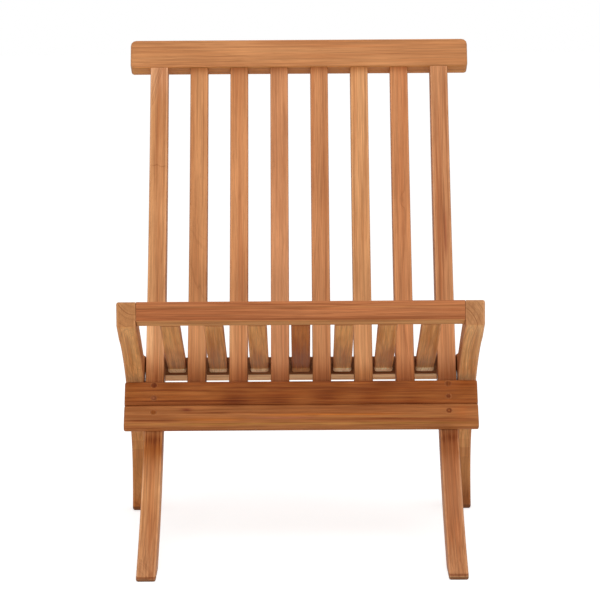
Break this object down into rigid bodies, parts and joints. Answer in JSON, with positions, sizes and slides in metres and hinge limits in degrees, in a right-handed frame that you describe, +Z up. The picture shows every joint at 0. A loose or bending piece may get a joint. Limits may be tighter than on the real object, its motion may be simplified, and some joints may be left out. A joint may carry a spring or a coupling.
{
  "type": "folding chair",
  "caption": "Low slatted wooden folding chair: two curved frames cross in an X and turn on a pair of bolts.",
  "frame": {"origin": "on the floor under the middle of the open chair's bounding box", "axes": "+X to the chair's left-hand side as seen by the sitter (the viewer's right from the front), +Y to the rear, +Z up"},
  "size_m": [0.554, 0.6976, 0.7529],
  "materials": {
    "teak": "oiled honey-brown teak, satin",
    "dark_teak": "oiled darker brown teak, satin",
    "brass_screw": "plain turned",
    "steel": "stainless, lightly brushed"
  },
  "bodies": {
    "back_frame": {"top_rail": "teak", "back_side_left": "teak", "back_side_right": "teak", "back_slat_1": "teak", "back_slat_2": "teak", "back_slat_3": "teak", "back_slat_4": "teak", "back_slat_5": "teak", "back_slat_6": "teak", "upper_plank": "dark_teak", "lower_plank": "dark_teak", "plank_plug_1": "dark_teak", "plank_plug_2": "dark_teak", "plank_plug_3": "dark_teak", "plank_plug_4": "dark_teak", "plank_plug_5": "dark_teak", "plank_plug_6": "dark_teak", "plank_screw_1": "brass_screw", "plank_screw_2": "brass_screw", "plank_screw_3": "brass_screw", "plank_screw_4": "brass_screw", "plank_screw_5": "brass_screw", "plank_screw_6": "brass_screw", "plank_dowel_1": "teak", "plank_dowel_2": "teak", "plank_dowel_3": "teak", "plank_dowel_4": "teak", "plank_dowel_5": "teak", "plank_dowel_6": "teak", "pivot_bolt_left": "steel", "pivot_bolt_right": "steel", "head_washer_left": "steel", "head_washer_right": "steel", "pivot_spacer_left": "steel", "pivot_spacer_right": "steel", "nut_washer_left": "steel", "nut_washer_right": "steel", "pivot_nut_left": "steel", "pivot_nut_right": "steel"},
    "seat_frame": {"seat_side_left": "teak", "seat_side_right": "teak", "front_rail": "teak", "rear_crossbar": "teak", "seat_slat_1": "teak", "seat_slat_2": "teak", "seat_slat_3": "teak", "seat_slat_4": "teak", "seat_slat_5": "teak", "seat_slat_6": "teak", "seat_slat_7": "teak"}
  },
  "joints": [
    {"name": "seat_fold", "type": "hinge", "parent": "back_frame", "child": "seat_frame", "pos_m": [0, 0.02796, 0.236], "axis": [-1, 0, 0], "range_deg": [0, 86]}
  ]
}
